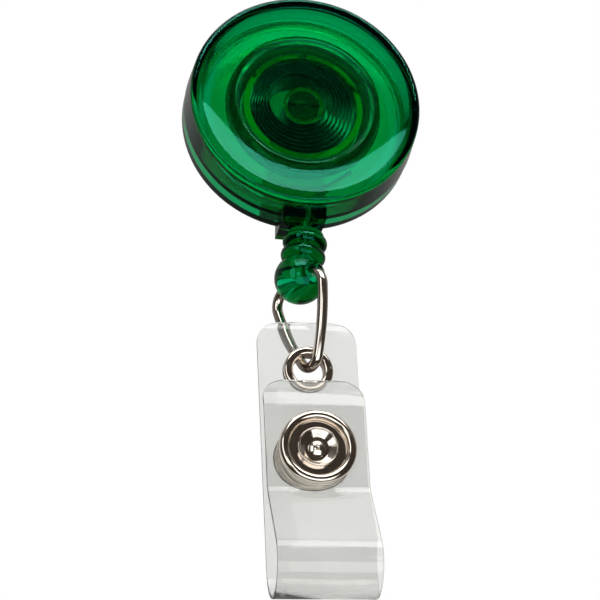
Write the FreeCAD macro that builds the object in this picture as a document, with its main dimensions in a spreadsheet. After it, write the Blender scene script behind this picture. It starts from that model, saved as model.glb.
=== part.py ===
import FreeCAD, Part
import math
import os
import re

# Retractable badge reel, hanging as it is worn.
# X points right, Y points to the back, Z points up, millimetres.
# Y = 0 is the back face of the round case and the Y axis is the axle of the spool.
# A "depth" below is a distance forward of the back face, so a depth d lies at Y = -d.

doc = FreeCAD.newDocument("BadgeReel")
dims = doc.addObject("Spreadsheet::Sheet", "Dims")

SIZES = [
    ("case_radius", 16.0, "outside radius of the round case"),
    ("front_radius", 15.7, "outside radius at the front edge, after draft"),
    ("case_depth", 8.8, "back face to front rim"),
    ("parting", 3.7, "depth of the joint between the two shells, and of the cord"),
    ("wall", 1.2, "shell wall"),
    ("rim_radius", 14.2, "inner radius of the raised front rim"),
    ("rim_height", 0.8, "rim above the middle of the front face"),
    ("rim_step", 0.18, "what is left of that height where the dished face meets the rim"),
    ("dish_start", 9.0, "radius at which the front face begins to curve up"),
    ("recess_radius", 9.6, "round recess in the front face"),
    ("recess_depth", 0.6, "depth of that recess"),
    ("block_width", 5.8, "cord exit block, across"),
    ("block_offset", 0.2, "cord exit block, off the centre line"),
    ("block_front", 7.3, "depth of its front face"),
    ("block_back", 0.3, "depth of its back face"),
    ("block_bottom", 17.5, "its lower face, below the axle"),
    ("exit_radius", 0.8, "cord exit hole"),
    ("post_radius", 2.2, "slotted post that holds the spring"),
    ("slot_width", 0.5, "slot through the post"),
    ("collar_radius", 2.95, "bearing collar round the foot of the post"),
    ("bore_radius", 3.0, "bore of the spool"),
    ("spool_gap", 0.2, "end play of the spool, each side"),
    ("flange_radius", 13.0, "spool flanges"),
    ("flange_thick", 0.5, "thickness of the web and the flanges"),
    ("barrel_inner", 7.4, "inside of the spool barrel"),
    ("barrel_outer", 8.2, "outside of the spool barrel"),
    ("winding_radius", 11.0, "outside of the wound cord"),
    ("cord_radius", 0.35, "cord"),
    ("spring_thick", 0.12, "spring strip thickness"),
    ("spring_turns", 6.5, "even turns of the spring"),
    ("exit_offset", 1.05, "cord exit, off the centre line"),
    ("stop_lean", 6.5, "sideways lean of the cord end and its stop, degrees"),
    ("rib_radius", 3.0, "outside radius of the ribs of the stop"),
    ("rib_round", 1.1, "rounding of each rib"),
    ("ball_radius", 3.42, "ball of the stop"),
    ("ball_drop", 24.84, "ball centre below the axle, before the lean"),
    ("hole_radius", 1.35, "cross hole of the ball"),
    ("wire_radius", 0.7, "wire of the pear-shaped ring"),
    ("ring_half", 4.7, "half width of the ring at its shoulders, to the wire's middle"),
    ("ring_height", 12.55, "top bar of the ring to its toe, between wire middles"),
    ("shoulder_radius", 2.2, "upper bends of the ring"),
    ("toe_radius", 1.75, "lower bend of the ring"),
    ("side_radius", 32.0, "bow of the ring's two sides"),
    ("ring_turn", 30.0, "ring plane turned about the vertical, degrees"),
    ("ring_tilt", 6.0, "ring swung sideways about the cross hole, degrees"),
    ("ring_lean", 6.9, "ring leaning in its own plane, degrees"),
    ("ring_slide", 0.6, "top bar slid towards its rear end"),
    ("bar_drop", 0.15, "top bar below the middle of the cross hole"),
    ("strap_offset", 0.65, "strap, off the centre line"),
    ("hang_swing", 3.3, "sideways swing of the strap at rest, degrees"),
    ("strap_width", 13.2, "vinyl strap, across"),
    ("strap_thick", 0.5, "vinyl strap, thickness"),
    ("strap_top", 31.2, "upper end of the strap below the axle"),
    ("corner_radius", 3.0, "rounded strap corners"),
    ("eyelet_hole", 2.05, "inside of the eyelet"),
    ("eyelet_barrel", 2.3, "outside of the eyelet barrel"),
    ("eyelet_rim", 3.3, "outside of the eyelet rim"),
    ("eyelet_drop", 37.98, "eyelet below the axle"),
    ("loop_radius", 4.1, "centre line radius of the strap loop"),
    ("loop_drop", 65.5, "centre of the strap loop below the axle"),
    ("loop_extra", 30.0, "bend of the loop past the half turn, degrees"),
    ("flap_depth", 6.8, "depth of the middle of the flat part of the flap"),
    ("flap_top", 40.2, "upper end of the flap below the axle"),
    ("flap_bend", 4.0, "centre line radius of the reverse bend of the flap"),
    ("tip_start", 44.6, "where the end of the flap begins to lean back"),
    ("tip_bend", 4.0, "centre line radius of that bend"),
    ("tip_angle", 18.0, "lean of the end of the flap, degrees"),
    ("snap_drop", 50.05, "snap centre below the axle"),
    ("cap_radius", 5.0, "snap cap"),
    ("cup_radius", 2.65, "standing ridge round the cup in the middle of the cap"),
    ("stem_radius", 1.1, "rivet stems of the snap"),
    ("clip_width", 8.4, "belt clip, across"),
    ("clip_thick", 1.4, "belt clip, thickness"),
    ("clip_gap", 1.8, "space between case and belt clip"),
]
for row, (alias, value, note) in enumerate(SIZES, 1):
    dims.set("A%d" % row, note)
    dims.set("B%d" % row, "%g" % value)
    dims.setAlias("B%d" % row, alias)
doc.recompute()
NAMES = [entry[0] for entry in SIZES]


def size(alias):
    return float(dims.get(alias))


def bound(text):
    """A dimension expression with every alias pointed at the sheet."""
    return re.sub(r"[a-z_]+", lambda m: "Dims." + m.group(0) if m.group(0) in NAMES else m.group(0), text)


def bind(obj, prop, text):
    obj.setExpression(prop, bound(text))


def place(obj, x, y, z, axis=None, angle=0.0):
    obj.Placement.Rotation = FreeCAD.Rotation(FreeCAD.Vector(*(axis or (0, 0, 1))), angle)
    for letter, text in (("x", x), ("y", y), ("z", z)):
        bind(obj, "Placement.Base." + letter, text)


def disc(name, radius, front, back, x="0", z="0", radius2=None, sweep=None):
    """Round solid with its axis along Y, between two depths."""
    kind = "Part::Cone" if radius2 else "Part::Cylinder"
    obj = doc.addObject(kind, name)
    if radius2:
        bind(obj, "Radius1", radius)
        bind(obj, "Radius2", radius2)
    else:
        bind(obj, "Radius", radius)
    bind(obj, "Height", "(%s) - (%s)" % (front, back))
    if sweep:
        obj.Angle = sweep
    place(obj, x, "-(%s)" % front, z, (1, 0, 0), -90)
    return obj


def rod(name, radius, top, bottom, x="0", depth="0", radius2=None):
    """Round solid with its axis along Z, between two distances below the axle."""
    kind = "Part::Cone" if radius2 else "Part::Cylinder"
    obj = doc.addObject(kind, name)
    if radius2:
        bind(obj, "Radius1", radius)
        bind(obj, "Radius2", radius2)
    else:
        bind(obj, "Radius", radius)
    bind(obj, "Height", "(%s) - (%s)" % (bottom, top))
    place(obj, x, "-(%s)" % depth, "-(%s)" % bottom)
    return obj


def block(name, half, front, back, top, bottom, x="0"):
    """Box centred on x, between two depths and two distances below the axle."""
    obj = doc.addObject("Part::Box", name)
    bind(obj, "Length", "2 * (%s)" % half)
    bind(obj, "Width", "(%s) - (%s)" % (front, back))
    bind(obj, "Height", "(%s) - (%s)" % (bottom, top))
    place(obj, "(%s) - (%s)" % (x, half), "-(%s)" % front, "-(%s)" % bottom)
    return obj


def ball(name, radius, x, depth, drop):
    obj = doc.addObject("Part::Sphere", name)
    bind(obj, "Radius", radius)
    place(obj, x, "-(%s)" % depth, "-(%s)" % drop)
    return obj


def torus(name, major, minor, x, depth, drop, axis=(0, 0, 1), angle=0.0):
    obj = doc.addObject("Part::Torus", name)
    bind(obj, "Radius1", major)
    bind(obj, "Radius2", minor)
    place(obj, x, "-(%s)" % depth, "-(%s)" % drop, axis, angle)
    return obj


def fuse(name, *shapes):
    obj = doc.addObject("Part::MultiFuse", name)
    obj.Shapes = list(shapes)
    obj.Refine = True
    return obj


def cut(name, base, *tools):
    obj = doc.addObject("Part::Cut", name)
    obj.Base = base
    obj.Tool = tools[0] if len(tools) == 1 else fuse(name + "_tools", *tools)
    obj.Refine = True
    return obj


def tube(name, outer, inner, front, back, x="0", z="0"):
    return cut(name, disc(name + "_outer", outer, front, back, x, z),
               disc(name + "_inner", inner, "%s + 1" % front, "%s - 1" % back, x, z))


def rounded(name, base, radius, wanted, kind="Part::Fillet"):
    """Fillet or chamfer on the circles round the Y axis at the (radius, depth) pairs wanted."""
    doc.recompute()
    edges = []
    for number, edge in enumerate(base.Shape.Edges, 1):
        curve = edge.Curve
        if not isinstance(curve, Part.Circle):
            continue
        for circle_radius, depth in wanted:
            if abs(curve.Radius - circle_radius) < 0.02 and abs(curve.Center.y + depth) < 0.02:
                edges.append((number, radius, radius))
    if not edges:
        raise RuntimeError("no edge to round on " + base.Name)
    obj = doc.addObject(kind, name)
    obj.Base = base
    obj.Edges = edges
    return obj


def move(obj, placement):
    """Moves a finished piece from where it was drawn."""
    doc.recompute()
    drawn = obj.Placement
    for letter in "xyz":
        obj.setExpression("Placement.Base." + letter, None)
    obj.Placement = placement.multiply(drawn)


# ---------------------------------------------------------------- case shells

front_body = disc("front_body", "front_radius", "case_depth", "parting", radius2="case_radius")
front_blank = fuse("front_blank", front_body, block(
    "front_exit", "block_width / 2", "block_front", "parting", "14.6", "block_bottom", "block_offset"))
cavity = disc("front_cavity", "case_radius - wall", "case_depth - rim_height - recess_depth - wall", "parting - 1")
cavity_ring = tube("front_cavity_ring", "case_radius - wall", "recess_radius + 0.8",
                   "case_depth - rim_height - wall", "parting")


def dished_pocket():
    """Half section of the space in front of the face: flat in the middle, then an arc up to the rim."""
    flat, edge = size("dish_start"), size("rim_radius")
    low = size("case_depth") - size("rim_height")
    rise = size("rim_height") - size("rim_step")
    reach = edge - flat
    radius = (reach ** 2 + rise ** 2) / (2 * rise)
    half_angle = math.asin(reach / radius) / 2
    middle = (flat + radius * math.sin(half_angle), low + radius * (1 - math.cos(half_angle)))
    out = size("case_depth") + 1
    corners = [FreeCAD.Vector(r, -depth, 0) for r, depth in (
        (flat, low), middle, (edge, low + rise), (edge, out), (0, out), (0, low))]
    edges = [Part.Arc(*corners[:3]).toShape()]
    for first, second in zip(corners[2:], corners[3:] + corners[:1]):
        edges.append(Part.LineSegment(first, second).toShape())
    return Part.Face(Part.Wire(edges))


pocket_section = doc.addObject("Part::Feature", "pocket_section")
pocket_section.Shape = dished_pocket()
face_pocket = doc.addObject("Part::Revolution", "face_pocket")
face_pocket.Source = pocket_section
face_pocket.Axis = FreeCAD.Vector(0, 1, 0)
face_pocket.Angle = 360
face_pocket.Solid = True
recess = disc("face_recess", "recess_radius", "case_depth - rim_height",
              "case_depth - rim_height - recess_depth", radius2="recess_radius - 0.5")
exit_front = rod("exit_front", "exit_radius", "13", "18.5", "exit_offset", "parting")
front_hollow = cut("front_hollow", front_blank, cavity, cavity_ring, face_pocket, recess, exit_front)
inner_face = "case_depth - rim_height - recess_depth - wall"
hub_boss = tube("hub_boss", "post_radius + 0.55", "post_radius + 0.15", inner_face + " + 0.2", inner_face + " - 0.5")
front_shell = fuse("front_shell", front_hollow, hub_boss)
front_round = rounded("front_round", front_shell, 0.7, [(size("front_radius"), size("case_depth"))])
front_cover = rounded("front_cover", front_round, 0.12, [(size("rim_radius"), size("case_depth"))])

rear_body = disc("rear_body", "case_radius - 0.06", "parting", "0")
rear_round = rounded("rear_round", rear_body, 0.8, [(size("case_radius") - 0.06, 0.0)])
rear_exit = block("rear_exit", "block_width / 2", "parting", "block_back", "14.6", "block_bottom", "block_offset")
clip_boss = block("clip_boss", "3.6", "0.5", "-clip_gap", "-12.8", "-9.8")
rear_blank = fuse("rear_blank", rear_round, rear_exit, clip_boss)
rear_cavity = disc("rear_cavity", "case_radius - wall", "parting + 1", "wall")
exit_rear = rod("exit_rear", "exit_radius", "13", "18.5", "exit_offset", "parting")
rear_hollow = cut("rear_hollow", rear_blank, rear_cavity)
lip_foot = tube("lip_foot", "case_radius - wall", "case_radius - wall - 0.6", "parting", "parting - 1")
lip = tube("lip", "case_radius - wall - 0.06", "case_radius - wall - 0.6", "parting + 0.7", "parting - 1")
collar = disc("collar", "collar_radius", "wall + spool_gap + flange_thick + 0.1", "wall - 0.2")
post = disc("post", "post_radius", inner_face + " - 0.15", "wall - 0.2")
rear_solid = fuse("rear_solid", rear_hollow, lip_foot, lip, collar, post)
post_slot = block("post_slot", "post_radius + 0.3", inner_face + " + 0.5",
                  "wall + spool_gap + flange_thick + 0.15", "-slot_width / 2", "slot_width / 2")
rear_cover = cut("rear_cover", rear_solid, exit_rear, post_slot)

# Moulded clip tongue at the back, root above, lipped end below.
clip_root = block("clip_root", "clip_width / 2", "-clip_gap - 0.02", "-clip_gap - 0.02 - clip_thick",
                  "-13.2", "12.5")
clip_lip = block("clip_lip", "clip_width / 2", "-clip_gap + 1.2", "-clip_gap - 0.5", "10.9", "12.5")
clip_blank = fuse("clip_blank", clip_root, clip_lip)
clip_hole = disc("clip_hole", "1.6", "-clip_gap + 1", "-clip_gap - 3", "0", "4.5")
belt_clip = cut("belt_clip", clip_blank, clip_hole)

# ---------------------------------------------------------------- spool, spring and wound cord

web_back = "wall + spool_gap"
web_front = "wall + spool_gap + flange_thick"
spool_front = inner_face + " - spool_gap"
rear_flange = disc("rear_flange", "flange_radius", web_front, web_back)
barrel = disc("barrel", "barrel_outer", spool_front, web_back)
front_flange = disc("front_flange", "flange_radius", spool_front, spool_front + " - flange_thick")
spool_blank = fuse("spool_blank", rear_flange, barrel, front_flange)
barrel_hollow = disc("barrel_hollow", "barrel_inner", "case_depth", web_front)
spool_bore = disc("spool_bore", "bore_radius", "case_depth", "0")
anchor_hole = rod("anchor_hole", "cord_radius + 0.1", "-9", "-7", "0", "parting")
spool = cut("spool", spool_blank, barrel_hollow, spool_bore, anchor_hole)

cord_winding = tube("cord_winding", "winding_radius", "barrel_outer", spool_front + " - flange_thick", web_front)


def spring_point(turn, offset):
    """Centre line of the strip at a number of turns from its outer end, moved outwards by offset."""
    even = size("spring_turns")
    share = min(turn / even, 1.0)
    outer = size("barrel_inner") - 0.1
    radius = outer - (outer - 4.25) * share
    shift_x = -0.44 * share
    shift_z = 0.94 * share
    if turn > even:
        closing = (turn - even) / 1.0
        radius = 4.25 - 1.6 * closing
        shift_x = -0.44 * (1 - closing)
        shift_z = 0.94 * (1 - closing)
    angle = -2 * math.pi * turn
    radius += offset
    return FreeCAD.Vector(shift_x + radius * math.cos(angle), 0, shift_z + radius * math.sin(angle))


def spring_side(offset):
    last = size("spring_turns") + 1.0
    steps = int(last * 14)
    points = [spring_point(last * i / steps, offset) for i in range(steps + 1)]
    curve = Part.BSplineCurve()
    curve.interpolate(points)
    return curve.toShape()


# Spiral strip closed by its two ends, then a tab that runs into the slot of the post.
half = size("spring_thick") / 2
outer_side = spring_side(half)
inner_side = spring_side(-half)
start = Part.makeLine(inner_side.Vertexes[0].Point, outer_side.Vertexes[0].Point)
finish = Part.makeLine(outer_side.Vertexes[-1].Point, inner_side.Vertexes[-1].Point)
spiral_edge = Part.Wire(Part.__sortEdges__([outer_side, finish, inner_side, start]))
strip_depth = size("wall") + size("spool_gap") + size("flange_thick") + 0.15
strip_width = size("case_depth") - size("rim_height") - size("recess_depth") - size("wall") - 0.65 - strip_depth
strip = Part.Face(spiral_edge).extrude(FreeCAD.Vector(0, -strip_width, 0))
strip.translate(FreeCAD.Vector(0, -strip_depth, 0))
spiral = doc.addObject("Part::Feature", "spring_spiral")
spiral.Shape = strip
strip_front = strip_depth + strip_width
tab = doc.addObject("Part::Box", "spring_tab")
tab.Length = 4.3
tab.Width = strip_width
bind(tab, "Height", "spring_thick")
place(tab, "-2.71", "%g" % -strip_front, "-spring_thick / 2")
power_spring = fuse("power_spring", spiral, tab)

# The cord leaves the winding at a tangent, bends at the mouth of the exit hole and drops through it.
mouth_drop = 13.7
mouth = FreeCAD.Vector(size("exit_offset"), 0, -mouth_drop)
reach = size("winding_radius") + size("cord_radius") + 0.05
lead_angle = math.atan2(mouth.z, mouth.x) + math.acos(reach / mouth.Length)
touch = FreeCAD.Vector(reach * math.cos(lead_angle), 0, reach * math.sin(lead_angle))
slant = doc.addObject("Part::Cylinder", "lead_slant")
bind(slant, "Radius", "cord_radius")
slant.Height = (mouth - touch).Length
slant.Placement = FreeCAD.Placement(
    FreeCAD.Vector(touch.x, -size("parting"), touch.z),
    FreeCAD.Rotation(FreeCAD.Vector(0, 0, 1), mouth - touch))
lead_bend = ball("lead_bend", "cord_radius", "exit_offset", "parting", "%g" % mouth_drop)
lead_drop = rod("lead_drop", "cord_radius", "%g" % mouth_drop, "block_bottom - 0.1", "exit_offset", "parting")
cord_lead = fuse("cord_lead", slant, lead_bend, lead_drop)

# ---------------------------------------------------------------- cord end, stop and ring

# The stop and the cord in it are drawn upright below the exit, then leaned about the exit's mouth.
knot_drop = "ball_drop - 2.2"
cord_tail = rod("cord_tail", "cord_radius", "block_bottom", knot_drop + " + 0.3", "exit_offset", "parting")
knot_ball = ball("knot_ball", "cord_radius + 0.5", "exit_offset", "parting", knot_drop)
knot_bore = rod("knot_bore", "cord_radius", "block_bottom", knot_drop + " + 0.3", "exit_offset", "parting")
cord_knot = cut("cord_knot", knot_ball, knot_bore)

stop_core = rod("stop_core", "rib_radius - 0.65", "block_bottom + 0.6", "ball_drop - 2", "exit_offset", "parting")
upper_rib = torus("upper_rib", "rib_radius - rib_round", "rib_round", "exit_offset", "parting", "block_bottom + 2")
lower_rib = torus("lower_rib", "rib_radius - rib_round", "rib_round", "exit_offset", "parting", "block_bottom + 4")
stop_ball = ball("stop_ball", "ball_radius", "exit_offset", "parting", "ball_drop")
stop_blank = fuse("stop_blank", stop_core, upper_rib, lower_rib, stop_ball)
stop_bore = rod("stop_bore", "cord_radius + 0.07", "block_bottom", "ball_drop", "exit_offset", "parting")
knot_pocket = rod("knot_pocket", "cord_radius + 0.65", "ball_drop - 3.1", "ball_drop", "exit_offset", "parting")

exit_mouth = FreeCAD.Vector(size("exit_offset"), -size("parting"), -size("block_bottom"))
lean = FreeCAD.Placement(
    FreeCAD.Vector(0, 0, 0), FreeCAD.Rotation(FreeCAD.Vector(0, 1, 0), size("stop_lean")), exit_mouth)
pivot = lean.multVec(FreeCAD.Vector(size("exit_offset"), -size("parting"), -size("ball_drop")))
turned = math.radians(size("ring_turn"))
hole_way = FreeCAD.Vector(math.sin(turned), -math.cos(turned), 0)


def cross(name, radius, start, length, radius2=None):
    """Round tool along the cross hole of the ball, level once the stop leans."""
    obj = doc.addObject("Part::Cone" if radius2 else "Part::Cylinder", name)
    if radius2:
        bind(obj, "Radius1", radius)
        bind(obj, "Radius2", radius2)
    else:
        bind(obj, "Radius", radius)
    obj.Height = length
    level = FreeCAD.Placement(pivot + hole_way * start, FreeCAD.Rotation(FreeCAD.Vector(0, 0, 1), hole_way))
    obj.Placement = lean.inverse().multiply(level)
    return obj


cross_hole = cross("cross_hole", "hole_radius", -5, 10)
cross_near = cross("cross_near", "hole_radius", size("ball_radius") - 0.75, 1.0, "hole_radius + 0.8")
cross_far = cross("cross_far", "hole_radius + 0.8", -size("ball_radius") - 0.25, 1.0, "hole_radius")
cord_stop = cut("cord_stop", stop_blank, stop_bore, knot_pocket, cross_hole, cross_near, cross_far)
for leaning in (cord_tail, cord_knot, cord_stop):
    move(leaning, lean)


def ring_path():
    """Middle line of the ring: a straight top bar, two shoulders, two slightly bowed sides and a round toe."""
    shoulder, toe, bow = size("shoulder_radius"), size("toe_radius"), size("side_radius")
    bar = size("ring_half") - shoulder
    toe_level = toe - size("ring_height")
    # The right side is an arc that touches the shoulder and the toe, so its centre is at known distances from both.
    gap = math.hypot(bar, shoulder + toe_level)
    upper, lower = bow - shoulder, bow - toe
    along = (upper ** 2 - lower ** 2 + gap ** 2) / (2 * gap)
    aside = math.sqrt(upper ** 2 - along ** 2)
    way = FreeCAD.Vector(-bar, toe_level + shoulder, 0) / gap
    centre = FreeCAD.Vector(bar, -shoulder, 0) + way * along + FreeCAD.Vector(way.y, -way.x, 0) * aside
    start = math.atan2(-shoulder - centre.y, bar - centre.x)
    stop = math.atan2(toe_level - centre.y, -centre.x)

    def arc(sign, middle_x, middle_y, radius, first, last):
        points = []
        for angle in (first, (first + last) / 2, last):
            points.append(FreeCAD.Vector(
                sign * (middle_x + radius * math.cos(angle)), middle_y + radius * math.sin(angle), 0))
        return Part.Arc(*points).toShape()

    top = [FreeCAD.Vector(sign * bar, 0, 0) for sign in (-1, 1)]
    edges = [Part.LineSegment(*top).toShape()]
    edges.append(arc(1, bar, -shoulder, shoulder, math.pi / 2, start))
    edges.append(arc(1, centre.x, centre.y, bow, start, stop))
    edges.append(arc(1, 0, toe_level, toe, stop, -math.pi - stop))
    edges.append(arc(-1, centre.x, centre.y, bow, stop, start))
    edges.append(arc(-1, bar, -shoulder, shoulder, start, math.pi / 2))
    return Part.Wire(edges)


# The ring is drawn in its own plane and then hung by its bar in the cross hole.
ring_line = doc.addObject("Part::Feature", "ring_line")
ring_line.Shape = ring_path()
ring_section = doc.addObject("Part::Circle", "ring_section")
bind(ring_section, "Radius", "wire_radius")
ring_section.Placement = FreeCAD.Placement(
    FreeCAD.Vector(size("shoulder_radius") - size("ring_half"), 0, 0),
    FreeCAD.Rotation(FreeCAD.Vector(0, 0, 1), FreeCAD.Vector(1, 0, 0)))
link_ring = doc.addObject("Part::Sweep", "link_ring")
link_ring.Sections = [ring_section]
link_ring.Spine = (ring_line, ["Edge%d" % (i + 1) for i in range(len(ring_line.Shape.Edges))])
link_ring.Solid = True
upward = FreeCAD.Vector(0, 0, 1)
in_plane = FreeCAD.Rotation(hole_way, upward, hole_way.cross(upward), "XYZ")
hung = FreeCAD.Placement(pivot, FreeCAD.Rotation(hole_way, size("ring_tilt")).multiply(in_plane))
leant = FreeCAD.Placement(
    FreeCAD.Vector(-size("ring_slide"), -size("bar_drop"), 0), FreeCAD.Rotation(upward, size("ring_lean")))
link_ring.Placement = hung.multiply(leant)

# ---------------------------------------------------------------- strap, eyelet and press snap
# These are drawn hanging straight down and then swung sideways about a point level with the ball.

swing = FreeCAD.Placement(
    FreeCAD.Vector(0, 0, 0), FreeCAD.Rotation(FreeCAD.Vector(0, 1, 0), -size("hang_swing")),
    FreeCAD.Vector(size("strap_offset"), pivot.y, pivot.z))
eye_z = "-eyelet_drop"
snap_z = "-snap_drop"
back_face = "parting - strap_thick / 2"
front_face = "parting + strap_thick / 2"
flap_back = "flap_depth - strap_thick / 2"
flap_front = "flap_depth + strap_thick / 2"
half_strap = "strap_width / 2"


def rounded_plate(name, front, back, top, bottom):
    """Strip of the strap with two rounded upper corners."""
    lower = block(name + "_lower", half_strap, front, back, top + " + corner_radius", bottom, "strap_offset")
    upper = block(name + "_upper", half_strap + " - corner_radius", front, back, top,
                  top + " + corner_radius + 1", "strap_offset")
    corners = []
    for side, sign in (("left", "-"), ("right", "+")):
        corners.append(disc(name + "_" + side, "corner_radius", front, back,
                            "strap_offset %s (strap_width / 2 - corner_radius)" % sign, "-(%s + corner_radius)" % top))
    return fuse(name, lower, upper, *corners)


def bend(name, middle, depth, drop, first, sweep):
    """Bent part of the strap: a sector of a tube along X, from an angle above the line to the back."""
    parts = []
    for label, sign in (("_outer", "+"), ("_inner", "-")):
        obj = doc.addObject("Part::Cylinder", name + label)
        bind(obj, "Radius", "%s %s strap_thick / 2" % (middle, sign))
        if sign == "+":
            bind(obj, "Height", "strap_width")
            obj.Angle = sweep
        else:
            bind(obj, "Height", "strap_width + 2")
        extra = "" if sign == "+" else " - 1"
        turn = FreeCAD.Rotation(FreeCAD.Vector(1, 0, 0), first)
        flat = FreeCAD.Rotation(FreeCAD.Vector(0, 1, 0), FreeCAD.Vector(0, 0, 1), FreeCAD.Vector(1, 0, 0), "ZXY")
        obj.Placement = FreeCAD.Placement(FreeCAD.Vector(0, 0, 0), turn.multiply(flat))
        bind(obj, "Placement.Base.x", "strap_offset - strap_width / 2" + extra)
        bind(obj, "Placement.Base.y", "-(%s)" % depth)
        bind(obj, "Placement.Base.z", "-(%s)" % drop)
        parts.append(obj)
    return cut(name, *parts)


back_plate = rounded_plate("back_plate", front_face, back_face, "strap_top", "loop_drop")
eye_punch = disc("eye_punch", "eyelet_barrel", "parting + 2", "parting - 2", "strap_offset", eye_z)
back_punch = disc("back_punch", "stem_radius", "parting + 2", "parting - 2", "strap_offset", snap_z)
strap_back = cut("strap_back", back_plate, eye_punch, back_punch)

# The half turn starts at the back strip and runs under to the front, then a little past it.
strap_loop = bend("strap_loop", "loop_radius", "parting + loop_radius", "loop_drop",
                  180 - size("loop_extra"), 180 + size("loop_extra"))


def bent_outline(start, heading, stretches, thick):
    """Outline in the YZ plane of a bent strip; each stretch is a straight length, or a radius and a turn."""
    sides = {1: [], -1: []}
    point, angle = start, math.radians(heading)

    def beside(side):
        return point + FreeCAD.Vector(0, -math.sin(angle), math.cos(angle)) * (side * thick / 2)

    first = {side: beside(side) for side in sides}
    for stretch in stretches:
        begin = {side: beside(side) for side in sides}
        if len(stretch) == 1:
            point = point + FreeCAD.Vector(0, math.cos(angle), math.sin(angle)) * stretch[0]
            for side in sides:
                sides[side].append(Part.LineSegment(begin[side], beside(side)).toShape())
            continue
        radius, turn = stretch[0], math.radians(stretch[1])
        way = math.copysign(radius, turn)
        centre = point + FreeCAD.Vector(0, -math.sin(angle), math.cos(angle)) * way
        middle = {}
        for label in ("middle", "end"):
            angle += turn / 2
            point = centre - FreeCAD.Vector(0, -math.sin(angle), math.cos(angle)) * way
            if label == "middle":
                middle = {side: beside(side) for side in sides}
        for side in sides:
            sides[side].append(Part.Arc(begin[side], middle[side], beside(side)).toShape())
    caps = [Part.LineSegment(first[1], first[-1]).toShape(), Part.LineSegment(beside(1), beside(-1)).toShape()]
    return Part.Wire(Part.__sortEdges__(sides[1] + sides[-1] + caps))


# The flap rises from the end of the loop, straightens behind the cap and leans back above it.
extra = math.radians(size("loop_extra"))
tip_lean = math.radians(size("tip_angle"))
flap_start = FreeCAD.Vector(
    0, -size("parting") - size("loop_radius") * (1 + math.cos(extra)),
    -size("loop_drop") + size("loop_radius") * math.sin(extra))
to_flat = -size("flap_depth") - flap_start.y
bend_share = size("flap_bend") * (1 - math.cos(extra))
ramp_length = (to_flat - bend_share) / math.sin(extra)
flat_from = -flap_start.z - ramp_length * math.cos(extra) - size("flap_bend") * math.sin(extra)
tip_rise = size("tip_start") - size("tip_bend") * math.sin(tip_lean) - size("flap_top")
outline = doc.addObject("Part::Feature", "flap_outline")
outline.Shape = bent_outline(flap_start, 90 - size("loop_extra"), [
    (ramp_length,), (size("flap_bend"), size("loop_extra")), (flat_from - size("tip_start"),),
    (size("tip_bend"), -size("tip_angle")), (tip_rise / math.cos(tip_lean),)], size("strap_thick"))
flap_strip = doc.addObject("Part::Extrusion", "flap_strip")
flap_strip.Base = outline
flap_strip.DirMode = "Custom"
flap_strip.Dir = FreeCAD.Vector(1, 0, 0)
flap_strip.Solid = True
bind(flap_strip, "LengthFwd", "strap_width")
bind(flap_strip, "Placement.Base.x", "strap_offset - strap_width / 2")
doc.recompute()
corners = []
for number, edge in enumerate(flap_strip.Shape.Edges, 1):
    if abs(edge.Length - size("strap_thick")) < 0.01 and edge.CenterOfMass.z > -size("flap_top") - 0.3:
        corners.append((number, size("corner_radius"), size("corner_radius")))
flap_blank = doc.addObject("Part::Fillet", "flap_blank")
flap_blank.Base = flap_strip
flap_blank.Edges = corners
flap_punch = disc("flap_punch", "stem_radius", "flap_depth + 2", "flap_depth - 2", "strap_offset", snap_z)
strap_flap = cut("strap_flap", flap_blank, flap_punch)

eye_front = tube("eye_front", "eyelet_rim", "eyelet_hole", front_face + " + 0.55", front_face, "strap_offset", eye_z)
eye_barrel = tube("eye_barrel", "eyelet_barrel", "eyelet_hole", front_face + " + 0.2", back_face + " - 0.45",
                  "strap_offset", eye_z)
eye_sharp = fuse("eye_sharp", eye_front, eye_barrel)
strap_eyelet = rounded("strap_eyelet", eye_sharp, 0.48, [
    (size("eyelet_rim"), size("parting") + size("strap_thick") / 2 + 0.55),
    (size("eyelet_hole"), size("parting") + size("strap_thick") / 2 + 0.55)])
eyelet_washer = tube("eyelet_washer", "eyelet_rim", "eyelet_barrel", back_face, back_face + " - 0.3",
                     "strap_offset", eye_z)


def round_part(name, radius, front, back, radius2=None):
    return disc(name, radius, front, back, "strap_offset", snap_z, radius2)


def ridge(name, major, minor, depth):
    return torus(name, major, minor, "strap_offset", depth, "snap_drop", (1, 0, 0), 90)


# Cap on the front of the flap: rolled rim, deep channel, standing ridge, and a flared cup with a small dome.
cap_plate = round_part("cap_plate", "cap_radius - 0.5", flap_front + " + 0.35", flap_front)
cap_rim = ridge("cap_rim", "cap_radius - 0.66", "0.66", flap_front + " + 0.66")
cap_wall = round_part("cap_wall", "cup_radius", flap_front + " + 0.85", flap_front + " + 0.2")
cap_ridge = ridge("cap_ridge", "cup_radius - 0.14", "0.14", flap_front + " + 0.85")
cap_solid = fuse("cap_solid", cap_plate, cap_rim, cap_wall, cap_ridge)
cap_cup = round_part("cap_cup", "cup_radius - 0.24", flap_front + " + 0.9", flap_front + " + 0.3", "1.5")
cap_shell = cut("cap_shell", cap_solid, cap_cup)
cap_dome = ball("cap_dome", "1.8", "strap_offset", flap_front + " - 1.0", "snap_drop")
cap_nipple = ball("cap_nipple", "0.42", "strap_offset", flap_front + " + 0.8", "snap_drop")
dome_keep = round_part("dome_keep", "1.6", flap_front + " + 2", flap_front + " + 0.2")
cap_middle = doc.addObject("Part::MultiCommon", "cap_middle")
cap_middle.Shapes = [cap_dome, dome_keep]
cap_stem = round_part("cap_stem", "stem_radius", flap_front + " + 0.1", flap_back + " - 0.25")
snap_cap = fuse("snap_cap", cap_shell, cap_middle, cap_nipple, cap_stem)

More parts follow.
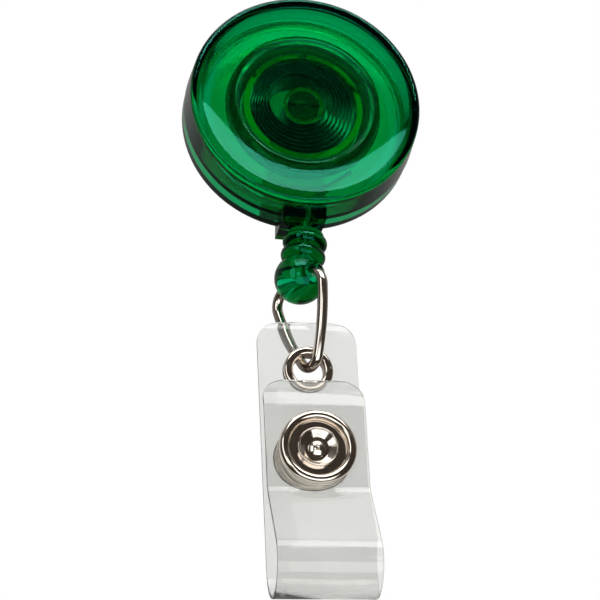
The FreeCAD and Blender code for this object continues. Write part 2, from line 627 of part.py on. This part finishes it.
socket_flange = round_part("socket_flange", "cap_radius - 0.4", flap_back, flap_back + " - 0.4")
socket_rim = tube("socket_rim", "cap_radius - 0.1", "cap_radius - 0.8", flap_back, flap_back + " - 0.65",
                  "strap_offset", snap_z)
socket_barrel = round_part("socket_barrel", "3.1", flap_back + " - 0.2", flap_back + " - 2")
socket_blank = fuse("socket_blank", socket_flange, socket_rim, socket_barrel)
socket_bore = round_part("socket_bore", "2", flap_back + " - 0.4", flap_back + " - 3")
socket_groove = round_part("socket_groove", "2.5", flap_back + " - 1.15", flap_back + " - 1.65")
socket_eye = round_part("socket_eye", "stem_radius", flap_back + " + 1", flap_back + " - 1")
socket_sharp = cut("socket_sharp", socket_blank, socket_bore, socket_groove, socket_eye)
flap_inside = size("flap_depth") - size("strap_thick") / 2
snap_socket = rounded("snap_socket", socket_sharp, 0.25, [
    (size("cap_radius") - 0.1, flap_inside), (size("cap_radius") - 0.1, flap_inside - 0.65)])
snap_spring = ridge("snap_spring", "2.2", "0.2", flap_back + " - 1.4")
snap_spring.Angle3 = 320

stud_plate = round_part("stud_plate", "4.2", front_face + " + 0.3", front_face)
stud_rim = tube("stud_rim", "4.55", "3.9", front_face + " + 0.6", front_face, "strap_offset", snap_z)
stud_neck = round_part("stud_neck", "1.4", front_face + " + 1.4", front_face + " + 0.2")
stud_head = round_part("stud_head", "1.45", front_face + " + 2", front_face + " + 1.1", "1.65")
stud_blank = fuse("stud_blank", stud_plate, stud_rim, stud_neck, stud_head)
stud_bore = round_part("stud_bore", "stem_radius", front_face + " + 0.9", front_face + " - 1")
stud_sharp = cut("stud_sharp", stud_blank, stud_bore)
snap_stud = rounded("snap_stud", stud_sharp, 0.22, [
    (4.55, size("parting") + size("strap_thick") / 2), (4.55, size("parting") + size("strap_thick") / 2 + 0.6)])
post_plate = round_part("post_plate", "4.6", back_face, back_face + " - 0.6")
post_stem = round_part("post_stem", "stem_radius", front_face + " + 0.9", back_face + " - 0.2")
post_sharp = fuse("post_sharp", post_plate, post_stem)
strap_behind = size("parting") - size("strap_thick") / 2
snap_post = rounded("snap_post", post_sharp, 0.28, [(4.6, strap_behind), (4.6, strap_behind - 0.6)])

for hanging in (strap_back, strap_loop, strap_flap, strap_eyelet, eyelet_washer,
                snap_cap, snap_socket, snap_spring, snap_stud, snap_post):
    move(hanging, swing)

# ---------------------------------------------------------------- checks and files

NODES = [
    front_cover, rear_cover, belt_clip, spool, power_spring, cord_winding, cord_lead,
    cord_tail, cord_knot, cord_stop, link_ring, strap_back, strap_loop, strap_flap,
    strap_eyelet, eyelet_washer, snap_cap, snap_socket, snap_spring, snap_stud, snap_post,
]
doc.recompute()
for obj in doc.Objects:
    if any(flag in ("Invalid", "Error") for flag in obj.State):
        raise RuntimeError("%s did not compute: %s" % (obj.Name, obj.State))
    shape = getattr(obj, "Shape", None)
    if shape is not None and (shape.isNull() or not shape.isValid()):
        raise RuntimeError("%s has no valid shape" % obj.Name)

os.makedirs("parts", exist_ok=True)
for obj in NODES:
    shape = obj.Shape
    if len(shape.Solids) != 1:
        raise RuntimeError("%s has %d solids" % (obj.Name, len(shape.Solids)))
    shape.exportStep("parts/%s.step" % obj.Name)
    box = shape.BoundBox
    print("%-14s volume %9.2f  x %7.2f %7.2f  y %7.2f %7.2f  z %7.2f %7.2f" % (
        obj.Name, shape.Volume, box.XMin, box.XMax, box.YMin, box.YMax, box.ZMin, box.ZMax))
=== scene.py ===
import math

import bpy
import bmesh
from mathutils import Matrix, Vector


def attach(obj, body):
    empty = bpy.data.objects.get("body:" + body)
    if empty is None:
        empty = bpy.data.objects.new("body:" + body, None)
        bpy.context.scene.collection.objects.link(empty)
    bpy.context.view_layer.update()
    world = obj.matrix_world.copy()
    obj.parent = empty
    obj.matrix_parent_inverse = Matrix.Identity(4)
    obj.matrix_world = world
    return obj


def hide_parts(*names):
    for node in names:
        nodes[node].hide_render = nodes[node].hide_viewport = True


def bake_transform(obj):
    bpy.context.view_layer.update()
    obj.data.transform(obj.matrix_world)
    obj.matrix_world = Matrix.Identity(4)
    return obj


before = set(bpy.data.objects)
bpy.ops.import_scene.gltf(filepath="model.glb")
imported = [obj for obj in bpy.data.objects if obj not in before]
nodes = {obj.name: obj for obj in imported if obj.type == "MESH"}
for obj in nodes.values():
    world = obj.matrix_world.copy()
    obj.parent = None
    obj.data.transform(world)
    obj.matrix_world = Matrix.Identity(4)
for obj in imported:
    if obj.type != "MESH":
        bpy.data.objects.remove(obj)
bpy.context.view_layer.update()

# Sizes in metres, the same as the CAD model. Depth is measured forward of the back face, along -Y,
# and drop is measured down from the axle, along -Z.
MM = 0.001
CORD_DEPTH = 3.7 * MM
EXIT_X = 1.05 * MM
EXIT_DROP = 17.5 * MM
STOP_LEAN = math.radians(6.5)
KNOT_REACH = 5.1 * MM
HUB_RING_RADIUS = (2.3 * MM, 2.8 * MM)
HUB_RING_DEPTH = (5.6 * MM, 6.15 * MM)
STRAP_X = 0.65 * MM
STRAP_WIDTH = 13.2 * MM
STRAP_THICK = 0.5 * MM
STRAP_TOP = 31.2 * MM
STRAP_EDGE = 0.1 * MM
CORNER = 3.0 * MM
LOOP_RADIUS = 4.1 * MM
LOOP_DROP = 65.5 * MM
LOOP_EXTRA = math.radians(30)
FLAP_DEPTH = 6.8 * MM
FLAP_TOP = 40.2 * MM
FLAP_BEND = 4.0 * MM
TIP_START = 44.6 * MM
TIP_BEND = 4.0 * MM
TIP_ANGLE = math.radians(18)
EYE_DROP = 37.98 * MM
EYE_RADIUS = 2.3 * MM
SNAP_DROP = 50.05 * MM
SNAP_RADIUS = 1.1 * MM

# The strap hangs from the middle of the stop's ball, swung a little to one side.
HANG = Vector((STRAP_X, -CORD_DEPTH, -24.793 * MM))
HANG_TURN = Matrix.Rotation(math.radians(-3.3), 4, "Y")
SWING = Matrix.Translation(HANG) @ HANG_TURN @ Matrix.Translation(-HANG)


# ---------------------------------------------------------------- material helpers

def node(tree, kind, inputs=(), **settings):
    """Node of this kind; inputs are (socket, value) pairs, and settings are its own properties."""
    made = tree.nodes.new(kind)
    for key, value in settings.items():
        setattr(made, key, value)
    for socket, value in inputs:
        made.inputs[socket].default_value = value
    return made


def empty_material(name):
    """Material with nothing but its output node."""
    mat = bpy.data.materials.new(name)
    mat.use_nodes = True
    mat.node_tree.nodes.clear()
    return mat, mat.node_tree, node(mat.node_tree, "ShaderNodeOutputMaterial")


def new_material(name, **values):
    """Material with one Principled shader; values are named as its sockets, with _ for a space."""
    mat, tree, out = empty_material(name)
    inputs = [(key.replace("_", " "), value) for key, value in values.items()]
    shader = node(tree, "ShaderNodeBsdfPrincipled", inputs)
    tree.links.new(shader.outputs["BSDF"], out.inputs["Surface"])
    return mat, tree, shader, out


def noise(tree, scale, detail=4.0, stretch=(1, 1, 1), roughness=0.55):
    """Noise in object coordinates; stretch squeezes it along an axis."""
    coords = node(tree, "ShaderNodeTexCoord")
    mapping = node(tree, "ShaderNodeMapping", [("Scale", stretch)])
    made = node(tree, "ShaderNodeTexNoise", [("Scale", scale), ("Detail", detail), ("Roughness", roughness)])
    tree.links.new(coords.outputs["Object"], mapping.inputs["Vector"])
    tree.links.new(mapping.outputs["Vector"], made.inputs["Vector"])
    return made.outputs["Fac"]


def spread(tree, value, low, high, start=0.3, end=0.7):
    """value from start..end stretched to low..high."""
    limits = [("From Min", start), ("From Max", end), ("To Min", low), ("To Max", high)]
    made = node(tree, "ShaderNodeMapRange", limits)
    tree.links.new(value, made.inputs["Value"])
    return made.outputs["Result"]


def ramp(tree, value, stops):
    """Colours that follow value, through (position, colour) stops."""
    made = node(tree, "ShaderNodeValToRGB")
    for element, (position, colour) in zip(made.color_ramp.elements, stops):
        element.position = position
        element.color = (*colour, 1)
    tree.links.new(value, made.inputs["Fac"])
    return made.outputs["Color"]


def tint(tree, shader, value, first, second):
    """Base colour that wanders from first to second with value."""
    tree.links.new(ramp(tree, value, [(0.3, first), (0.7, second)]), shader.inputs["Base Color"])


def bump(tree, shader, value, distance, strength, under=None):
    """Relief of value on the shader, on top of the relief under."""
    made = node(tree, "ShaderNodeBump", [("Strength", strength), ("Distance", distance)])
    tree.links.new(value, made.inputs["Height"])
    if under is not None:
        tree.links.new(under, made.inputs["Normal"])
    tree.links.new(made.outputs["Normal"], shader.inputs["Normal"])
    return made.outputs["Normal"]


def scuffed(tree, shader, base, marks, depth):
    """Roughness of base, and depth more along the marks."""
    worn = node(tree, "ShaderNodeMath", [(1, depth)], operation="MULTIPLY_ADD")
    tree.links.new(marks, worn.inputs[0])
    tree.links.new(base, worn.inputs[2])
    tree.links.new(worn.outputs["Value"], shader.inputs["Roughness"])


def scratches(tree, scale, stretch, threshold):
    """Thin pale lines: a stretched noise, cut off near its top."""
    value = noise(tree, scale, 2.0, stretch, 0.4)
    return spread(tree, value, 0.0, 1.0, threshold, threshold + 0.06)


# ---------------------------------------------------------------- materials

def green_plastic(name, dye, absorb, density, rough, glint):
    """Clear moulded polystyrene: dyed through, with faint flow marks and fine handling scratches."""
    mat, tree, shader, out = new_material(name, Transmission_Weight=1.0, IOR=1.53, Specular_Tint=(*glint, 1))
    tint(tree, shader, noise(tree, 140.0, 5.0, (1, 1, 0.5)), dye, tuple(min(1.0, c * 1.04) for c in dye))
    base = spread(tree, noise(tree, 900.0, 3.0), rough, rough + 0.05)
    scuffed(tree, shader, base, scratches(tree, 420.0, (1, 0.25, 5.0), 0.66), 0.10)
    bump(tree, shader, noise(tree, 260.0, 2.0), 0.00003, 0.25)
    volume = node(tree, "ShaderNodeVolumeAbsorption", [("Color", (*absorb, 1)), ("Density", density)])
    tree.links.new(volume.outputs["Volume"], out.inputs["Volume"])
    return mat


def frosted_ring():
    """Edges of the small boss behind the face: cut plastic that scatters the light inside it."""
    mat, tree, shader, _ = new_material("green_ring", Roughness=0.35, Transmission_Weight=0.3)
    tint(tree, shader, noise(tree, 1200.0, 3.0), (0.25, 0.80, 0.12), (0.40, 0.95, 0.20))
    return mat


def vinyl():
    """Clear flexible vinyl: slightly grey, with soft ripples, a fine haze and a few scuffs."""
    mat, tree, shader, _ = new_material("vinyl_clear", Transmission_Weight=0.96, IOR=1.45)
    tint(tree, shader, noise(tree, 90.0, 4.0), (0.765, 0.77, 0.75), (0.815, 0.82, 0.80))
    base = spread(tree, noise(tree, 700.0, 3.0), 0.04, 0.08)
    scuffed(tree, shader, base, scratches(tree, 300.0, (4.0, 1.0, 0.3), 0.68), 0.2)
    bump(tree, shader, noise(tree, 120.0, 2.0, (1, 1, 0.6)), 0.0001, 0.25)
    return mat


def unseen():
    """For the two end faces where the halves of the strap meet: light passes as if there were no faces."""
    mat, tree, out = empty_material("vinyl_join")
    clear = node(tree, "ShaderNodeBsdfTransparent")
    tree.links.new(clear.outputs["BSDF"], out.inputs["Surface"])
    return mat


def nickel(name, base, rough, grain):
    """Nickel plate: warm and bright, slightly uneven, with hairlines and tiny dents."""
    mat, tree, shader, _ = new_material(name, Metallic=1.0)
    tint(tree, shader, noise(tree, 350.0, 5.0), tuple(c * 0.86 for c in base), base)
    polish = spread(tree, noise(tree, 1500.0, 4.0, grain), rough, rough + 0.12)
    tree.links.new(polish, shader.inputs["Roughness"])
    fine = bump(tree, shader, noise(tree, 2600.0, 3.0, grain), 0.00002, 0.18)
    bump(tree, shader, noise(tree, 420.0, 2.0), 0.00004, 0.2, fine)
    return mat


def spring_steel():
    """Blue-grey rolled strip: hairlines along the strip and a thin film of oil."""
    mat, tree, shader, _ = new_material("steel_strip", Metallic=1.0, Coat_Weight=0.2)
    tint(tree, shader, noise(tree, 500.0, 4.0), (0.05, 0.05, 0.055), (0.12, 0.12, 0.125))
    tree.links.new(spread(tree, noise(tree, 1800.0, 3.0, (1, 8, 1)), 0.22, 0.4), shader.inputs["Roughness"])
    bump(tree, shader, noise(tree, 3000.0, 2.0, (1, 10, 1)), 0.00001, 0.3)
    return mat


def nylon():
    """Braided nylon cord: small crossing strands."""
    mat, tree, shader, _ = new_material("nylon_braid", Sheen_Weight=0.3)
    coords = node(tree, "ShaderNodeTexCoord")
    weave = node(tree, "ShaderNodeMath", operation="MAXIMUM")
    for strand, turn in enumerate((0.9, -0.9)):
        mapping = node(tree, "ShaderNodeMapping", [("Rotation", (turn, turn, turn))])
        wave = node(tree, "ShaderNodeTexWave", [("Scale", 1400.0), ("Distortion", 1.5)])
        tree.links.new(coords.outputs["Object"], mapping.inputs["Vector"])
        tree.links.new(mapping.outputs["Vector"], wave.inputs["Vector"])
        tree.links.new(wave.outputs["Fac"], weave.inputs[strand])
    relief = weave.outputs["Value"]
    tint(tree, shader, relief, (0.52, 0.54, 0.50), (0.72, 0.73, 0.69))
    tree.links.new(spread(tree, relief, 0.75, 0.5, 0, 1), shader.inputs["Roughness"])
    bump(tree, shader, relief, 0.00005, 0.8)
    return mat


GREEN = green_plastic(
    "green_case", dye=(0.80, 0.97, 0.90), absorb=(0.0, 0.85, 0.71), density=2800.0, rough=0.012,
    glint=(0.05, 1.0, 0.7))
GREEN_SPOOL = green_plastic(
    "green_spool", dye=(0.84, 0.98, 0.86), absorb=(0.04, 0.93, 0.50), density=1500.0, rough=0.05,
    glint=(0.1, 1.0, 0.5))
GREEN_RING = frosted_ring()
VINYL = vinyl()
VINYL_JOIN = unseen()
NICKEL = nickel("nickel_plate", (0.76, 0.69, 0.61), 0.05, (1, 1, 1))
NICKEL_WIRE = nickel("nickel_wire", (0.76, 0.70, 0.63), 0.06, (1, 1, 0.2))
STEEL = spring_steel()
NYLON = nylon()


# ---------------------------------------------------------------- finishes of the CAD nodes

def repaint(mat, *names):
    """Gives CAD nodes another material, in their objects' slots."""
    for name in names:
        for slot in nodes[name].material_slots:
            slot.material = mat


repaint(GREEN, "front_cover", "rear_cover", "belt_clip", "cord_stop")
repaint(GREEN_SPOOL, "spool")
repaint(STEEL, "power_spring", "snap_spring")
repaint(NYLON, "cord_knot")
repaint(NICKEL_WIRE, "link_ring")
repaint(NICKEL, "strap_eyelet", "eyelet_washer", "snap_cap", "snap_socket", "snap_stud", "snap_post")


def between(tree, value, limits):
    """True where value lies between the two limits."""
    middle, margin = (limits[0] + limits[1]) / 2, (limits[1] - limits[0]) / 2
    made = node(tree, "FunctionNodeCompare", [(1, middle), ("Epsilon", margin)],
                data_type="FLOAT", operation="EQUAL")
    tree.links.new(value, made.inputs[0])
    return made.outputs["Result"]


def paint_hub_ring():
    """Frosts the boss behind the face: a modifier picks its faces, and the CAD mesh stays as it is."""
    tree = bpy.data.node_groups.new("hub_ring_finish", "GeometryNodeTree")
    for way in ("INPUT", "OUTPUT"):
        tree.interface.new_socket("Geometry", in_out=way, socket_type="NodeSocketGeometry")
    place = node(tree, "GeometryNodeInputPosition")
    parts = node(tree, "ShaderNodeSeparateXYZ")
    flat = node(tree, "ShaderNodeVectorMath", [(1, (1, 0, 1))], operation="MULTIPLY")
    reach = node(tree, "ShaderNodeVectorMath", operation="LENGTH")
    depth = node(tree, "ShaderNodeMath", [(1, -1.0)], operation="MULTIPLY")
    both = node(tree, "FunctionNodeBooleanMath", operation="AND")
    paint = node(tree, "GeometryNodeSetMaterial", [("Material", GREEN_RING)])
    tree.links.new(place.outputs["Position"], parts.inputs["Vector"])
    tree.links.new(place.outputs["Position"], flat.inputs[0])
    tree.links.new(flat.outputs["Vector"], reach.inputs[0])
    tree.links.new(parts.outputs["Y"], depth.inputs[0])
    tree.links.new(between(tree, reach.outputs["Value"], HUB_RING_RADIUS), both.inputs[0])
    tree.links.new(between(tree, depth.outputs["Value"], HUB_RING_DEPTH), both.inputs[1])
    tree.links.new(both.outputs["Boolean"], paint.inputs["Selection"])
    tree.links.new(node(tree, "NodeGroupInput").outputs["Geometry"], paint.inputs["Geometry"])
    tree.links.new(paint.outputs["Geometry"], node(tree, "NodeGroupOutput").inputs["Geometry"])
    nodes["front_cover"].modifiers.new("hub_ring_finish", "NODES").node_group = tree


paint_hub_ring()


# ---------------------------------------------------------------- mesh helpers

def shares(count, first=1):
    """Even shares of a way, from first/count up to the whole."""
    return [i / count for i in range(first, count + 1)]


def place(name, data):
    """Object that shows data, in the scene."""
    obj = bpy.data.objects.new(name, data)
    bpy.context.scene.collection.objects.link(obj)
    return obj


def add_piece(name, rings, slot, *mats):
    """Closed skin through rings of points, in order; returns its object and the numbers of its end faces."""
    bm = bmesh.new()
    loops = [[bm.verts.new(point) for point in ring] for ring in rings]
    sides = len(loops[0])
    for a, b in zip(loops, loops[1:]):
        for k in range(sides):
            bm.faces.new((a[k], a[(k + 1) % sides], b[(k + 1) % sides], b[k]))
    ends = [bm.faces.new(list(reversed(loops[0]))), bm.faces.new(loops[-1])]
    bm.faces.index_update()
    ends = [face.index for face in ends]
    bmesh.ops.recalc_face_normals(bm, faces=bm.faces)
    mesh = bpy.data.meshes.new(name)
    bm.to_mesh(mesh)
    bm.free()
    for mat in mats:
        mesh.materials.append(mat)
    obj = place(name, mesh)
    return obj, ends


def direction_at(points, i):
    """Direction of the line through points at its i-th point."""
    return (points[min(i + 1, len(points) - 1)] - points[max(i - 1, 0)]).normalized()


# ---------------------------------------------------------------- vinyl strap

def strap_path():
    """Middle line of the strap as (depth, drop) pairs, in two pieces: back with loop, and flap."""
    back = [(CORD_DEPTH, STRAP_TOP + (LOOP_DROP - STRAP_TOP) * t) for t in shares(110, 0)]
    for t in shares(96):
        turn = (math.pi + LOOP_EXTRA) * t
        reach = LOOP_RADIUS * (1 - math.cos(turn))
        back.append((CORD_DEPTH + reach, LOOP_DROP + LOOP_RADIUS * math.sin(turn)))

    depth, drop = back[-1]
    slope = (depth - FLAP_DEPTH - FLAP_BEND * (1 - math.cos(LOOP_EXTRA))) / math.sin(LOOP_EXTRA)
    flap = [(depth - slope * t * math.sin(LOOP_EXTRA), drop - slope * t * math.cos(LOOP_EXTRA))
            for t in shares(24, 0)]
    flat_drop = flap[-1][1] - FLAP_BEND * math.sin(LOOP_EXTRA)
    for t in shares(24):
        turn = LOOP_EXTRA * (1 - t)
        flap.append((FLAP_DEPTH + FLAP_BEND * (1 - math.cos(turn)), flat_drop + FLAP_BEND * math.sin(turn)))
    for t in shares(40):
        flap.append((FLAP_DEPTH, flat_drop + (TIP_START - flat_drop) * t))
    for t in shares(12):
        turn = TIP_ANGLE * t
        flap.append((FLAP_DEPTH - TIP_BEND * (1 - math.cos(turn)), TIP_START - TIP_BEND * math.sin(turn)))
    depth, drop = flap[-1]
    for t in shares(60):
        rise = (drop - FLAP_TOP) * t
        flap.append((depth - rise * math.tan(TIP_ANGLE), drop - rise))
    return back, flap


def strap_section(wide):
    """Outline across the strap as (reach, lift) pairs: a thin rectangle with small rounded corners."""
    inset = STRAP_THICK / 2 - STRAP_EDGE
    outline = []
    for side in (1, -1):
        for quarter, centre in ((0, inset), (1, -inset)):
            for t in shares(3, 0):
                angle = math.pi / 2 * (quarter + t)
                reach = wide - STRAP_EDGE + STRAP_EDGE * math.sin(angle)
                outline.append((side * reach, side * (centre + STRAP_EDGE * math.cos(angle))))
    return outline


def strip(name, path, free_start):
    """Strip of vinyl along path, with rounded corners at its free end; returns it and its length."""
    points = [Vector((0, -depth, -drop)) for depth, drop in path]
    along = [0.0]
    for a, b in zip(points, points[1:]):
        along.append(along[-1] + (b - a).length)
    rings = []
    for i, point in enumerate(points):
        out = Vector((1, 0, 0)).cross(direction_at(points, i))
        from_end = along[i] if free_start else along[-1] - along[i]
        wide = STRAP_WIDTH / 2
        if from_end < CORNER:
            wide += math.sqrt(CORNER ** 2 - (CORNER - from_end) ** 2) - CORNER
        middle = point + Vector((STRAP_X, 0, 0))
        rings.append([middle + Vector((reach, 0, 0)) + out * lift for reach, lift in strap_section(wide)])
    obj, ends = add_piece(name, rings, "clear_vinyl", VINYL, VINYL_JOIN)
    obj.data.polygons[ends[1] if free_start else ends[0]].material_index = 1
    return obj, along[-1]


def punch(obj, radius, drop, depth):
    """Cuts a round hole through a layer of the strap, along Y, and smooths all but the sharp edges."""
    bm = bmesh.new()
    bmesh.ops.create_cone(bm, cap_ends=True, segments=96, radius1=radius, radius2=radius, depth=2.0 * MM)
    spot = Matrix.Translation((STRAP_X, -depth, -drop)) @ Matrix.Rotation(math.pi / 2, 4, "X")
    bmesh.ops.transform(bm, matrix=spot, verts=bm.verts)
    mesh = bpy.data.meshes.new("punch")
    bm.to_mesh(mesh)
    bm.free()
    tool = place("punch", mesh)
    hole = obj.modifiers.new("hole", "BOOLEAN")
    hole.operation = "DIFFERENCE"
    hole.solver = "EXACT"
    hole.object = tool
    bpy.context.view_layer.update()
    graph = bpy.context.evaluated_depsgraph_get()
    obj.data = bpy.data.meshes.new_from_object(obj.evaluated_get(graph))
    obj.modifiers.clear()
    obj.data.shade_smooth()
    obj.data.set_sharp_from_angle(angle=math.radians(40))
    bpy.data.objects.remove(tool)


back_path, flap_path = strap_path()
strap_sheet, back_length = strip("strap_sheet", back_path, True)
flap_sheet, flap_length = strip("flap_sheet", flap_path, False)
punch(strap_sheet, EYE_RADIUS, EYE_DROP, CORD_DEPTH)
punch(strap_sheet, SNAP_RADIUS, SNAP_DROP, CORD_DEPTH)
punch(flap_sheet, SNAP_RADIUS, SNAP_DROP, FLAP_DEPTH)
for sheet in (strap_sheet, flap_sheet):
    sheet.data.transform(SWING)
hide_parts("strap_back", "strap_loop")
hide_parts("strap_flap")
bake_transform(strap_sheet)
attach(flap_sheet, "flap")


# ---------------------------------------------------------------- cord

# The cord is drawn a hair thinner than the CAD cord. It leaves the winding on a circle of WINDING_LEAVE,
# turns down at MOUTH_DROP, and runs straight down through close rings from STRETCH_DROP to the exit.
CORD_RADIUS = 0.34 * MM
WINDING_TURNS = 14.3
WINDING_LEAVE = 11.4 * MM
MOUTH_DROP = 13.7 * MM
MOUTH_BEND = 0.6 * MM
STRETCH_DROP = 15.9 * MM


def cord_tube(name, points, sides):
    """Round cord through points, with a section that never twists."""
    rings = []
    turns = [2 * math.pi * k / sides for k in range(sides)]
    side = direction_at(points, 0).orthogonal().normalized()
    for i, point in enumerate(points):
        ahead = direction_at(points, i)
        side = (side - ahead * side.dot(ahead)).normalized()
        other = ahead.cross(side)
        rings.append([
            point + CORD_RADIUS * (math.cos(turn) * side + math.sin(turn) * other) for turn in turns])
    obj, _ = add_piece(name, rings, "nylon_cord", NYLON)
    obj.data.shade_smooth()
    return obj


def winding_points():
    """Fourteen loose turns of cord that travel to and fro between the flanges."""
    inner, growth, half_width = 8.6 * MM, 2.02 * MM, 1.3 * MM
    turns_per_layer = 4.4
    per_turn = 48
    points = []
    for i in range(int(WINDING_TURNS * per_turn) + 1):
        turn = i / per_turn
        radius = inner + growth * turn / WINDING_TURNS + 0.05 * MM * math.sin(turn * 5.1)
        sweep = (turn / turns_per_layer) % 2.0
        across = (sweep if sweep < 1 else 2 - sweep) * 2 - 1
        angle = 2 * math.pi * turn
        depth = CORD_DEPTH + half_width * across + 0.08 * MM * math.sin(turn * 3.3)
        points.append(Vector((radius * math.cos(angle), -depth, radius * math.sin(angle))))
    return points


def cord_run():
    """The cord from the winding, round the mouth of the exit hole and down to the knot."""
    mouth = Vector((EXIT_X, 0, -MOUTH_DROP))
    angle = math.atan2(mouth.z, mouth.x) + math.acos(WINDING_LEAVE / mouth.length)
    touch = Vector((WINDING_LEAVE * math.cos(angle), 0, WINDING_LEAVE * math.sin(angle)))
    before = mouth - (mouth - touch).normalized() * MOUTH_BEND
    after = mouth + Vector((0, 0, -MOUTH_BEND))
    exit_point = Vector((EXIT_X, 0, -EXIT_DROP))
    down = Vector((-math.sin(STOP_LEAN), 0, -math.cos(STOP_LEAN)))
    points = [touch.lerp(before, t) for t in shares(12, 0)]
    points += [before.lerp(mouth, t).lerp(mouth.lerp(after, t), t) for t in shares(9)]
    points += [after + Vector((0, 0, -step * MM)) for step in (0.5, 1.0)]
    points += [Vector((EXIT_X, 0, -STRETCH_DROP)).lerp(exit_point, t) for t in shares(40, 0)]
    points += [exit_point + down * KNOT_REACH * t for t in shares(8)]
    return [point + Vector((0, -CORD_DEPTH, 0)) for point in points]


winding = cord_tube("cord_turns", winding_points(), 10)
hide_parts("cord_winding")
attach(winding, "reel")

run = cord_tube("cord_run", cord_run(), 16)
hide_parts("cord_lead", "cord_tail")
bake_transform(run)


# ---------------------------------------------------------------- stage, light and camera

def floor():
    """Wide pale floor a metre below the reel; polished things don't mirror it."""
    size = 12.0
    mesh = bpy.data.meshes.new("floor")
    corners = [(-size, -size, 0), (size, -size, 0), (size, size, 0), (-size, size, 0)]
    mesh.from_pydata(corners, [], [(0, 1, 2, 3)])
    mat, tree, shader, _ = new_material("floor_pale", Roughness=0.7)
    tint(tree, shader, noise(tree, 3.0, 4.0), (0.80, 0.80, 0.79), (0.86, 0.86, 0.85))
    mesh.materials.append(mat)
    obj = place("floor", mesh)
    obj.location = (0, 0, -1.0)
    obj.visible_glossy = False


def panel(name, elevation, azimuth, distance, width, height, power):
    """Softbox in front of the reel, at angles above and to the right of straight ahead."""
    up, side = math.radians(elevation), math.radians(azimuth)
    way = Vector((math.sin(side) * math.cos(up), -math.cos(side) * math.cos(up), math.sin(up)))
    data = bpy.data.lights.new(name, "AREA")
    data.shape = "RECTANGLE"
    data.size = width
    data.size_y = height
    data.energy = power
    obj = place(name, data)
    obj.location = Vector((0, 0, -0.03)) + way * distance
    obj.rotation_mode = "QUATERNION"
    obj.rotation_quaternion = (-way).to_track_quat("-Z", "Y")


def sky_part(sky, direction, stops):
    """Background whose brightness follows a direction, through (position, colour) stops."""
    coords = node(sky, "ShaderNodeTexCoord")
    aim = node(sky, "ShaderNodeVectorMath", [(1, direction)], operation="DOT_PRODUCT")
    half = node(sky, "ShaderNodeMath", [(1, 0.5), (2, 0.5)], operation="MULTIPLY_ADD")
    back = node(sky, "ShaderNodeBackground")
    sky.links.new(coords.outputs["Generated"], aim.inputs[0])
    sky.links.new(aim.outputs["Value"], half.inputs[0])
    sky.links.new(ramp(sky, half.outputs["Value"], stops), back.inputs["Color"])
    return back.outputs["Background"]


def studio():
    """White surroundings, but uneven and dimmer in mirrors and through the clear plastic."""
    world = bpy.data.worlds.new("studio")
    world.use_nodes = True
    sky = world.node_tree
    sky.nodes.clear()
    mirrored = sky_part(sky, (0, 0.6, 0.8), [(0.50, (0.045, 0.036, 0.029)), (0.90, (0.32, 0.31, 0.30))])
    passed = sky_part(sky, (0, 1, 0), [(0.25, (0.30, 0.30, 0.30)), (0.62, (1.0, 1.0, 1.0))])
    plain = node(sky, "ShaderNodeBackground", [("Color", (1, 1, 1, 1))]).outputs["Background"]
    ray = node(sky, "ShaderNodeLightPath")
    # A refracted ray counts as glossy too, so the look through the plastic comes after the mirrored one.
    seen = plain
    looks = (("Is Glossy Ray", mirrored), ("Is Transmission Ray", passed), ("Is Camera Ray", plain))
    for kind, look in looks:
        mix = node(sky, "ShaderNodeMixShader")
        sky.links.new(ray.outputs[kind], mix.inputs["Fac"])
        sky.links.new(seen, mix.inputs[1])
        sky.links.new(look, mix.inputs[2])
        seen = mix.outputs["Shader"]
    sky.links.new(seen, node(sky, "ShaderNodeOutputWorld").inputs["Surface"])
    return world


def camera():
    """View from the lower left of the face, close enough for a little perspective."""
    side, low, roll = math.radians(9.5), math.radians(25), math.radians(0.6)
    target = Vector((0.2, -4.0, -28.0)) * MM
    distance = 0.3
    back = Vector((-math.sin(side) * math.cos(low), -math.cos(side) * math.cos(low), -math.sin(low)))
    level = (-back).cross(Vector((0, 0, 1))).normalized()
    upright = level.cross(-back)
    right = math.cos(roll) * level + math.sin(roll) * upright
    up = -math.sin(roll) * level + math.cos(roll) * upright
    data = bpy.data.cameras.new("camera")
    data.sensor_width = 36.0
    data.lens = 136.74
    data.clip_start = 0.01
    data.clip_end = 50.0
    obj = place("camera", data)
    turn = Matrix((right, up, back)).transposed().to_4x4()
    obj.matrix_world = Matrix.Translation(target + back * distance) @ turn
    return obj


floor()
panel("overhead", 50, 5, 0.50, 0.50, 0.20, 1.4)
panel("top", 82, 0, 0.50, 0.46, 0.30, 0.7)
panel("low_front", -30, 5, 0.45, 0.50, 0.26, 0.8)
panel("left", 5, -42, 0.50, 0.18, 0.40, 0.45)
panel("near_camera", 0, -16, 0.50, 0.12, 0.12, 0.12)

scene = bpy.context.scene
scene.world = studio()
scene.camera = camera()
scene.view_settings.view_transform = "Standard"
scene.cycles.max_bounces = 28
scene.cycles.transmission_bounces = 28
scene.cycles.transparent_max_bounces = 16
